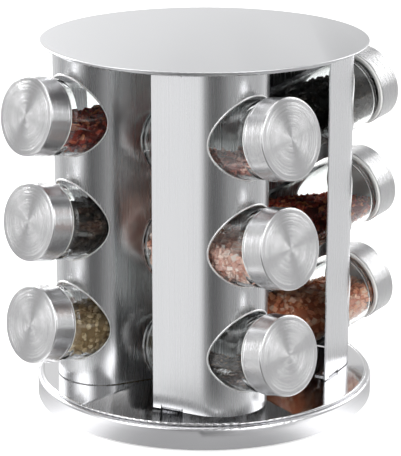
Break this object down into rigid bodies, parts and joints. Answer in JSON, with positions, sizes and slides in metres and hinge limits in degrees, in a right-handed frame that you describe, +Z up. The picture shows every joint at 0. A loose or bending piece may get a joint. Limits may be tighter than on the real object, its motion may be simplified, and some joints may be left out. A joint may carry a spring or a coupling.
{
  "type": "spice carousel",
  "caption": "Revolving countertop spice rack: round base and top joined by four bent steel columns holding tilted glass jars with steel caps.",
  "frame": {"origin": "on the turning axis at the table, under the middle of the stand", "axes": "+Z up along the turning axis; +X the way the jars of column a point, +Y the way those of column b point"},
  "size_m": [0.2174, 0.2174, 0.2148],
  "materials": {
    "brushed_sheet": "vertical satin brushing",
    "base_wall": "satin, turned",
    "mirror_deck": "polished",
    "top_steel": "fine satin",
    "cap_steel": "circular brushing on the face",
    "cap_plastic": "moulded",
    "jar_glass": "clear",
    "plate_steel": "mill",
    "race_steel": "zinc plated",
    "fastener_steel": "bright",
    "ball_steel": "ground",
    "cage_plastic": "moulded",
    "bush_brass": "turned",
    "pad_rubber": "matt"
  },
  "bodies": {
    "stand": {"foot_pads": "pad_rubber", "foot_plate": "plate_steel", "lower_race": "race_steel", "lower_race_rivets": "fastener_steel", "pivot_bolt": "fastener_steel", "pivot_washer": "fastener_steel", "pivot_nut": "fastener_steel"},
    "ball_ring": {"bearing_balls": "ball_steel", "ball_cage": "cage_plastic"},
    "carousel": {"upper_race": "race_steel", "upper_race_rivets": "fastener_steel", "pivot_bush": "bush_brass", "base_floor": "plate_steel", "base_drum": "base_wall", "base_deck": "mirror_deck", "deck_rivets": "fastener_steel", "column_sheet_a": "brushed_sheet", "column_sheet_b": "brushed_sheet", "column_sheet_c": "brushed_sheet", "column_sheet_d": "brushed_sheet", "pan_rivets": "fastener_steel", "top_pan": "top_steel", "top_cover": "top_steel"},
    "jar_a_low": {"jar_glass_a_low": "jar_glass"},
    "cap_a_low": {"cap_liner_a_low": "cap_plastic", "cap_shell_a_low": "cap_steel"},
    "jar_a_mid": {"jar_glass_a_mid": "jar_glass"},
    "cap_a_mid": {"cap_liner_a_mid": "cap_plastic", "cap_shell_a_mid": "cap_steel"},
    "jar_a_top": {"jar_glass_a_top": "jar_glass"},
    "cap_a_top": {"cap_liner_a_top": "cap_plastic", "cap_shell_a_top": "cap_steel"},
    "jar_b_low": {"jar_glass_b_low": "jar_glass"},
    "cap_b_low": {"cap_liner_b_low": "cap_plastic", "cap_shell_b_low": "cap_steel"},
    "jar_b_mid": {"jar_glass_b_mid": "jar_glass"},
    "cap_b_mid": {"cap_liner_b_mid": "cap_plastic", "cap_shell_b_mid": "cap_steel"},
    "jar_b_top": {"jar_glass_b_top": "jar_glass"},
    "cap_b_top": {"cap_liner_b_top": "cap_plastic", "cap_shell_b_top": "cap_steel"},
    "jar_c_low": {"jar_glass_c_low": "jar_glass"},
    "cap_c_low": {"cap_liner_c_low": "cap_plastic", "cap_shell_c_low": "cap_steel"},
    "jar_c_mid": {"jar_glass_c_mid": "jar_glass"},
    "cap_c_mid": {"cap_liner_c_mid": "cap_plastic", "cap_shell_c_mid": "cap_steel"},
    "jar_c_top": {"jar_glass_c_top": "jar_glass"},
    "cap_c_top": {"cap_liner_c_top": "cap_plastic", "cap_shell_c_top": "cap_steel"},
    "jar_d_low": {"jar_glass_d_low": "jar_glass"},
    "cap_d_low": {"cap_liner_d_low": "cap_plastic", "cap_shell_d_low": "cap_steel"},
    "jar_d_mid": {"jar_glass_d_mid": "jar_glass"},
    "cap_d_mid": {"cap_liner_d_mid": "cap_plastic", "cap_shell_d_mid": "cap_steel"},
    "jar_d_top": {"jar_glass_d_top": "jar_glass"},
    "cap_d_top": {"cap_liner_d_top": "cap_plastic", "cap_shell_d_top": "cap_steel"}
  },
  "joints": [
    {"name": "carousel_spin", "type": "hinge", "parent": "stand", "child": "carousel", "pos_m": [0, 0, 0.00538], "axis": [0, 0, 1], "continuous": true},
    {"name": "ball_ring_spin", "type": "hinge", "parent": "stand", "child": "ball_ring", "pos_m": [0, 0, 0.00538], "axis": [0, 0, 1], "continuous": true},
    {"name": "jar_a_low_draw", "type": "slide", "parent": "carousel", "child": "jar_a_low", "axis": [0.9816, 0, 0.1908], "range_m": [0, 0.09]},
    {"name": "cap_a_low_lift", "type": "slide", "parent": "jar_a_low", "child": "cap_a_low", "axis": [0.9816, 0, 0.1908], "range_m": [0, 0.03]},
    {"name": "jar_a_mid_draw", "type": "slide", "parent": "carousel", "child": "jar_a_mid", "axis": [0.9816, 0, 0.1908], "range_m": [0, 0.09]},
    {"name": "cap_a_mid_lift", "type": "slide", "parent": "jar_a_mid", "child": "cap_a_mid", "axis": [0.9816, 0, 0.1908], "range_m": [0, 0.03]},
    {"name": "jar_a_top_draw", "type": "slide", "parent": "carousel", "child": "jar_a_top", "axis": [0.9816, 0, 0.1908], "range_m": [0, 0.09]},
    {"name": "cap_a_top_lift", "type": "slide", "parent": "jar_a_top", "child": "cap_a_top", "axis": [0.9816, 0, 0.1908], "range_m": [0, 0.03]},
    {"name": "jar_b_low_draw", "type": "slide", "parent": "carousel", "child": "jar_b_low", "axis": [0, 0.9816, 0.1908], "range_m": [0, 0.09]},
    {"name": "cap_b_low_lift", "type": "slide", "parent": "jar_b_low", "child": "cap_b_low", "axis": [0, 0.9816, 0.1908], "range_m": [0, 0.03]},
    {"name": "jar_b_mid_draw", "type": "slide", "parent": "carousel", "child": "jar_b_mid", "axis": [0, 0.9816, 0.1908], "range_m": [0, 0.09]},
    {"name": "cap_b_mid_lift", "type": "slide", "parent": "jar_b_mid", "child": "cap_b_mid", "axis": [0, 0.9816, 0.1908], "range_m": [0, 0.03]},
    {"name": "jar_b_top_draw", "type": "slide", "parent": "carousel", "child": "jar_b_top", "axis": [0, 0.9816, 0.1908], "range_m": [0, 0.09]},
    {"name": "cap_b_top_lift", "type": "slide", "parent": "jar_b_top", "child": "cap_b_top", "axis": [0, 0.9816, 0.1908], "range_m": [0, 0.03]},
    {"name": "jar_c_low_draw", "type": "slide", "parent": "carousel", "child": "jar_c_low", "axis": [-0.9816, 0, 0.1908], "range_m": [0, 0.09]},
    {"name": "cap_c_low_lift", "type": "slide", "parent": "jar_c_low", "child": "cap_c_low", "axis": [-0.9816, 0, 0.1908], "range_m": [0, 0.03]},
    {"name": "jar_c_mid_draw", "type": "slide", "parent": "carousel", "child": "jar_c_mid", "axis": [-0.9816, 0, 0.1908], "range_m": [0, 0.09]},
    {"name": "cap_c_mid_lift", "type": "slide", "parent": "jar_c_mid", "child": "cap_c_mid", "axis": [-0.9816, 0, 0.1908], "range_m": [0, 0.03]},
    {"name": "jar_c_top_draw", "type": "slide", "parent": "carousel", "child": "jar_c_top", "axis": [-0.9816, 0, 0.1908], "range_m": [0, 0.09]},
    {"name": "cap_c_top_lift", "type": "slide", "parent": "jar_c_top", "child": "cap_c_top", "axis": [-0.9816, 0, 0.1908], "range_m": [0, 0.03]},
    {"name": "jar_d_low_draw", "type": "slide", "parent": "carousel", "child": "jar_d_low", "axis": [0, -0.9816, 0.1908], "range_m": [0, 0.09]},
    {"name": "cap_d_low_lift", "type": "slide", "parent": "jar_d_low", "child": "cap_d_low", "axis": [0, -0.9816, 0.1908], "range_m": [0, 0.03]},
    {"name": "jar_d_mid_draw", "type": "slide", "parent": "carousel", "child": "jar_d_mid", "axis": [0, -0.9816, 0.1908], "range_m": [0, 0.09]},
    {"name": "cap_d_mid_lift", "type": "slide", "parent": "jar_d_mid", "child": "cap_d_mid", "axis": [0, -0.9816, 0.1908], "range_m": [0, 0.03]},
    {"name": "jar_d_top_draw", "type": "slide", "parent": "carousel", "child": "jar_d_top", "axis": [0, -0.9816, 0.1908], "range_m": [0, 0.09]},
    {"name": "cap_d_top_lift", "type": "slide", "parent": "jar_d_top", "child": "cap_d_top", "axis": [0, -0.9816, 0.1908], "range_m": [0, 0.03]}
  ],
  "couplings": [
    {"joint": "ball_ring_spin", "follows": "carousel_spin", "ratio": 0.5}
  ]
}
